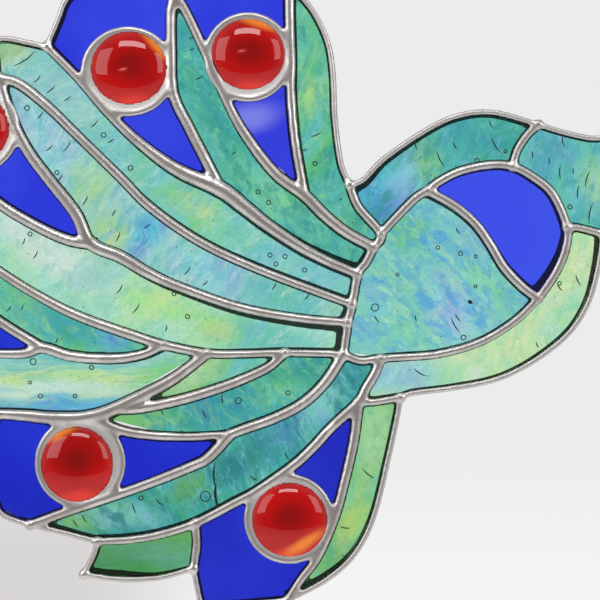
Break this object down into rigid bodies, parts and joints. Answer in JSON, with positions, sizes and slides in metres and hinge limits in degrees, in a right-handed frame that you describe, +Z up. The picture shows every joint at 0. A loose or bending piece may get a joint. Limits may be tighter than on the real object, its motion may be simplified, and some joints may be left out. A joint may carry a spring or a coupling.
{
  "type": "stained glass suncatcher",
  "caption": "Flat hanging suncatcher: a peacock in side view with a spread tail, made of coloured glass panes and red glass nuggets joined by solder seams.",
  "frame": {"origin": "inside the top of the hanging ring, where a hook or a thread carries the part", "axes": "+X to the viewer's right, towards the bird's beak; -Y towards the viewer, the front with the nuggets' domes; +Z up"},
  "size_m": [0.297, 0.0079, 0.2217],
  "materials": {
    "solder": "bright solder, smooth and slightly uneven",
    "ring_wire": "tinned wire",
    "cobalt_glass": "smooth, deep cobalt",
    "teal_glass": "streaky, with seeds and small creases",
    "deep_teal_glass": "streaky, with seeds and small creases",
    "sky_glass": "streaky, with seeds and small creases",
    "pale_glass": "streaky, with seeds and small creases",
    "green_glass": "streaky, with seeds and small creases",
    "amber_glass": "smooth",
    "red_glass": "smooth, domed"
  },
  "bodies": {
    "root": {"solder_web": "solder", "hanging_ring": "ring_wire", "feather_glass_01": "teal_glass", "feather_glass_02": "deep_teal_glass", "feather_glass_03": "teal_glass", "feather_glass_04": "sky_glass", "feather_glass_05": "pale_glass", "feather_glass_06": "deep_teal_glass", "feather_glass_07": "sky_glass", "feather_glass_08": "green_glass", "feather_glass_09": "teal_glass", "feather_glass_10": "deep_teal_glass", "feather_glass_11": "green_glass", "tail_corner_glass": "green_glass", "cap_glass_top": "cobalt_glass", "cap_glass_top_left": "cobalt_glass", "cap_glass_upper_left": "cobalt_glass", "cap_glass_lower_left": "cobalt_glass", "cap_glass_bottom_left": "cobalt_glass", "cap_glass_bottom": "cobalt_glass", "wedge_glass_top": "cobalt_glass", "wedge_glass_top_left": "cobalt_glass", "wedge_glass_upper_left": "cobalt_glass", "wedge_glass_lower_left": "cobalt_glass", "wedge_glass_bottom_left": "cobalt_glass", "wedge_glass_bottom": "cobalt_glass", "back_glass": "teal_glass", "wing_glass": "cobalt_glass", "body_glass": "teal_glass", "breast_glass": "pale_glass", "neck_glass": "teal_glass", "head_glass": "cobalt_glass", "beak_glass": "amber_glass", "crest_glass": "cobalt_glass", "nugget_top_left": "red_glass", "nugget_top": "red_glass", "nugget_upper_left": "red_glass", "nugget_lower_left": "red_glass", "nugget_bottom_left": "red_glass", "nugget_bottom": "red_glass"}
  },
  "joints": []
}
